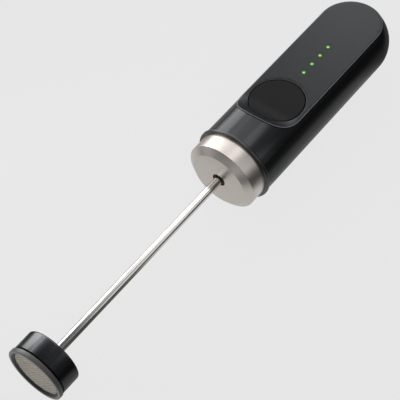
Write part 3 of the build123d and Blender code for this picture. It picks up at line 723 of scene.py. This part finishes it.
# Works inside the handle
# Motor, cell, board and chassis, hidden by the shell and seen only through the charging port.
# Each keeps its solid, with the plain finish of its metal, plastic, copper or board.
inner_black = finish("inner_black", (0.03, 0.03, 0.03, 1), (0.5, 0.6), 1200, 0.05)
zinc = finish("zinc_plate", (0.55, 0.55, 0.56, 1), (0.3, 0.42), 900, 0.05, metal=1.0)
brass = finish("brass", (0.62, 0.44, 0.18, 1), (0.25, 0.35), 900, 0.04, metal=1.0)
bronze = finish("bronze", (0.42, 0.27, 0.14, 1), (0.45, 0.6), 1600, 0.1, metal=1.0)
copper = finish("copper", (0.62, 0.25, 0.12, 1), (0.3, 0.4), 1400, 0.2, metal=1.0)
nickel = finish("nickel", (0.62, 0.60, 0.56, 1), (0.2, 0.3), 900, 0.03, metal=1.0)
ferrite = finish("ferrite", (0.05, 0.05, 0.052, 1), (0.55, 0.7), 1400, 0.1)
resist = finish("solder_resist", (0.015, 0.12, 0.045, 1), (0.3, 0.4), 700, 0.05)
wrap = finish("cell_wrap", (0.03, 0.14, 0.3, 1), (0.35, 0.45), 500, 0.04)
foam = finish("foam", (0.04, 0.04, 0.04, 1), (0.8, 0.9), 1500, 0.4)
wire_red = finish("wire_red", (0.4, 0.02, 0.015, 1), (0.4, 0.5), 800, 0.04)
clear = finish("clear_guide", (0.55, 0.75, 0.5, 1), (0.1, 0.2), 600, 0.02)
inside = {
    inner_black: ("nose_block", "chassis", "motor_end_bell", "switch_case", "switch_stem", "control_chips"),
    zinc: ("motor_can", "motor_screws", "cap_screws", "board_screws", "rotor_core"),
    brass: ("shaft_coupling", "motor_terminals", "motor_brushes"),
    bronze: ("shaft_bush", "motor_front_bush", "motor_rear_bush"),
    copper: ("rotor_windings", "commutator"),
    nickel: ("battery_tabs", "usb_socket", "motor_shaft"),
    ferrite: ("motor_magnets", "usb_tongue"),
    resist: ("circuit_board",),
    wrap: ("battery_cell",),
    foam: ("battery_pad",),
    wire_red: ("motor_leads",),
    clear: ("light_guide", "indicator_leds"),
    seal_black: ("body_o_ring",),
}
for mat, names in inside.items():
    for name in names:
        keep_solid(name, mat)

# Floor and light
# A pale grey paper sweep under the frother, and a dim room around it.
# Soft boxes draw the long bands on the black shell, and small cards light the cap, cup and shaft.
FLOOR_GREY = 0.812
FLOOR_SIZE = 4.0
FLOOR_EVEN = 0.95
FLOOR_REACH = 0.2
FLOOR_MIRROR = (
    (-121, 0.85), (-116, 0.32), (-98, 0.32), (-90, 0.08), (-80, 0.08), (-70, 0.12), (-48, 0.12),
    (-30, 0.68), (12, 0.7), (17, 0.85), (23, 0.36), (95, 0.36), (112, 0.12),
)
ROOM_GREY = 0.10
FLOOR_ASIDE = ((-130, 0.08), (-60, 0.12), (-44, 0.9), (-36, 1.0), (45, 1.0), (150, 0.8))
floor_mesh = bpy.data.meshes.new("sweep")
h = FLOOR_SIZE / 2
floor_mesh.from_pydata([(-h, -h, 0), (h, -h, 0), (h, h, 0), (-h, h, 0)], [], [(0, 1, 2, 3)])
floor = bpy.data.objects.new("sweep", floor_mesh)
bpy.context.scene.collection.objects.link(floor)
paper = bpy.data.materials.new("sweep_paper")
paper.use_nodes = True
paper_nodes, paper_links = paper.node_tree.nodes, paper.node_tree.links
paper_nodes.clear()
out = paper_nodes.new("ShaderNodeOutputMaterial")
matte = paper_nodes.new("ShaderNodeBsdfDiffuse")
matte.inputs["Color"].default_value = (0.7, 0.7, 0.7, 1)
lit = paper_nodes.new("ShaderNodeEmission")
place = paper_nodes.new("ShaderNodeTexCoord")
split = paper_nodes.new("ShaderNodeSeparateXYZ")
paper_links.new(place.outputs["Object"], split.inputs["Vector"])


def floor_ramp(axis, stops):
    """Grey level along one axis of the sweep, from (millimetres, level) stops."""
    reach = paper_nodes.new("ShaderNodeMapRange")
    reach.inputs["From Min"].default_value = -FLOOR_REACH
    reach.inputs["From Max"].default_value = FLOOR_REACH
    paper_links.new(split.outputs[axis], reach.inputs["Value"])
    ramp = paper_nodes.new("ShaderNodeValToRGB")
    ramp.color_ramp.elements.remove(ramp.color_ramp.elements[0])
    for i, (at, level) in enumerate(stops):
        stop = ramp.color_ramp.elements[0] if i == 0 else ramp.color_ramp.elements.new(0.999)
        stop.position = (at * MM + FLOOR_REACH) / (2 * FLOOR_REACH)
        stop.color = (level, level, level, 1)
    paper_links.new(reach.outputs["Result"], ramp.inputs["Fac"])
    return ramp.outputs["Color"]


mirror = paper_nodes.new("ShaderNodeMix")
mirror.data_type = "RGBA"
mirror.blend_type = "MULTIPLY"
mirror.inputs["Factor"].default_value = 1.0
paper_links.new(floor_ramp("X", FLOOR_MIRROR), mirror.inputs["A"])
paper_links.new(floor_ramp("Y", FLOOR_ASIDE), mirror.inputs["B"])
ray = paper_nodes.new("ShaderNodeLightPath")
pick = paper_nodes.new("ShaderNodeMix")
pick.data_type = "RGBA"
paper_links.new(ray.outputs["Is Camera Ray"], pick.inputs["Factor"])
paper_links.new(mirror.outputs["Result"], pick.inputs["A"])
pick.inputs["B"].default_value = (FLOOR_GREY, FLOOR_GREY, FLOOR_GREY, 1)
paper_links.new(pick.outputs["Result"], lit.inputs["Color"])
seen = paper_nodes.new("ShaderNodeMath")
seen.operation = "MAXIMUM"
paper_links.new(ray.outputs["Is Camera Ray"], seen.inputs[0])
paper_links.new(ray.outputs["Is Glossy Ray"], seen.inputs[1])
share = paper_nodes.new("ShaderNodeMath")
share.operation = "MULTIPLY"
share.inputs[1].default_value = FLOOR_EVEN
paper_links.new(seen.outputs["Value"], share.inputs[0])
blend = paper_nodes.new("ShaderNodeMixShader")
paper_links.new(share.outputs["Value"], blend.inputs["Fac"])
paper_links.new(matte.outputs["BSDF"], blend.inputs[1])
paper_links.new(lit.outputs["Emission"], blend.inputs[2])
paper_links.new(blend.outputs["Shader"], out.inputs["Surface"])
floor_mesh.materials.append(paper)

world = bpy.data.worlds.new("room")
bpy.context.scene.world = world
world.use_nodes = True
sky = world.node_tree.nodes["Background"]
sky.inputs["Color"].default_value = (1, 1, 1, 1)
sight = world.node_tree.nodes.new("ShaderNodeLightPath")
level = world.node_tree.nodes.new("ShaderNodeMapRange")
level.inputs["To Min"].default_value = ROOM_GREY
level.inputs["To Max"].default_value = FLOOR_GREY * FLOOR_EVEN
world.node_tree.links.new(sight.outputs["Is Camera Ray"], level.inputs["Value"])
world.node_tree.links.new(level.outputs["Result"], sky.inputs["Strength"])


def soft_box(name, place, target, size, power):
    """A rectangular soft box that faces target, unseen by the camera."""
    data = bpy.data.lights.new(name, "AREA")
    data.shape = "RECTANGLE"
    data.size, data.size_y = size
    data.energy = power
    lamp = bpy.data.objects.new(name, data)
    bpy.context.scene.collection.objects.link(lamp)
    lamp.location = place
    lamp.rotation_euler = (Vector(target) - Vector(place)).to_track_quat("-Z", "Y").to_euler()
    lamp.visible_camera = False
    return lamp


# The camera looks this far along the tool and across it, so these are the ways that its round pieces mirror.
SIGHT_ALONG = 0.4378
SIGHT_ACROSS = 0.8991


def toward(angle, reach, x=0.05):
    """Point in the direction that the round pieces mirror at this angle from +Y over the tool."""
    a = math.radians(angle)
    across = SIGHT_ACROSS * reach
    return (x + SIGHT_ALONG * reach, across * math.cos(a), across * math.sin(a) + axis_z)


soft_box("side_low", toward(0, 0.9), (0.05, 0, axis_z), (1.0, 0.36), 1.5)
soft_box("side_high", toward(24, 0.9), (0.05, 0, axis_z), (1.0, 0.40), 2.9)
soft_box("top_left", toward(48, 0.9), (0.05, 0, axis_z), (1.0, 0.36), 0.95)
soft_box("top_near", toward(72, 0.9), (0.05, 0, axis_z), (1.0, 0.36), 0.7)
soft_box("top_mid", toward(100, 0.9), (0.05, 0, axis_z), (1.0, 0.45), 0.22)
soft_box("top_far", toward(130, 0.9), (0.05, 0, axis_z), (1.0, 0.45), 0.15)
soft_box("low_front", toward(25, 0.9, -0.85), (0, 0, axis_z), (0.6, 0.5), 0.6)
soft_box("high_front", toward(95, 0.9, -0.85), (0, 0, axis_z), (0.6, 0.8), 1.3)
soft_box("end_box", (0.228, 0.07, 0.155), (0.115, 0, 0.03), (0.09, 0.10), 0.07)
soft_box("front_card", (-0.9, -0.2, 0.12), (0, 0, axis_z), (0.9, 0.4), 0.25)
soft_box("front_side_card", (-0.8, 0.6, 0.12), (0, 0, axis_z), (0.6, 0.4), 0.06)
soft_box("front_low_card", (-0.45, -0.15, 0.025), (0, -0.01, 0.025), (0.25, 0.05), 0.03)
soft_box("cap_card", (0.036, -0.02, 0.15), (-0.012, 0, axis_z), (0.04, 0.12), 0.014)
soft_box("cap_side_card", (0.036, 0.075, 0.125), (-0.012, 0, axis_z), (0.04, 0.08), 0.010)
soft_box("cap_far_card", (0.035, -0.0564, 0.039), (0.005, -0.015, axis_z), (0.014, 0.03), 0.0002)
soft_box("cup_card", (-0.044, 0.095, 0.115), (-0.11, 0, axis_z), (0.06, 0.07), 0.03)
soft_box("cup_low_card", (-0.044, 0.126, 0.064), (-0.11, 0, axis_z), (0.06, 0.08), 0.03)
soft_box("shaft_right", (0.015, -0.123, 0.105), (-0.06, 0, axis_z), (0.12, 0.10), 0.024)
soft_box("shaft_top", (0.015, 0.0, 0.155), (-0.06, 0, axis_z), (0.12, 0.14), 0.018)

# Camera
# A long lens above the head's end, looking down along the handle.
# Its place and turn, in the frame's millimetres, were fitted to the photograph's edges.
CAMERA_AT = (-251.26, -228.57, 451.62)
CAMERA_RIGHT = (0.6167874, -0.7836454, -0.0739811)
CAMERA_UP = (0.6541627, 0.4580537, 0.6018787)
CAMERA_BACK = (-0.4377722, -0.4196268, 0.7951534)
FOCAL_LENGTH = 116.22
camera_data = bpy.data.cameras.new("camera")
camera_data.lens = FOCAL_LENGTH
camera_data.sensor_width = 36.0
camera = bpy.data.objects.new("camera", camera_data)
bpy.context.scene.collection.objects.link(camera)
turn = Matrix((CAMERA_RIGHT, CAMERA_UP, CAMERA_BACK)).transposed().to_4x4()
camera.matrix_world = Matrix.Translation(Vector(CAMERA_AT) * MM) @ turn
camera_data.clip_start = 0.01
bpy.context.scene.camera = camera
bpy.context.scene.view_settings.view_transform = "Standard"
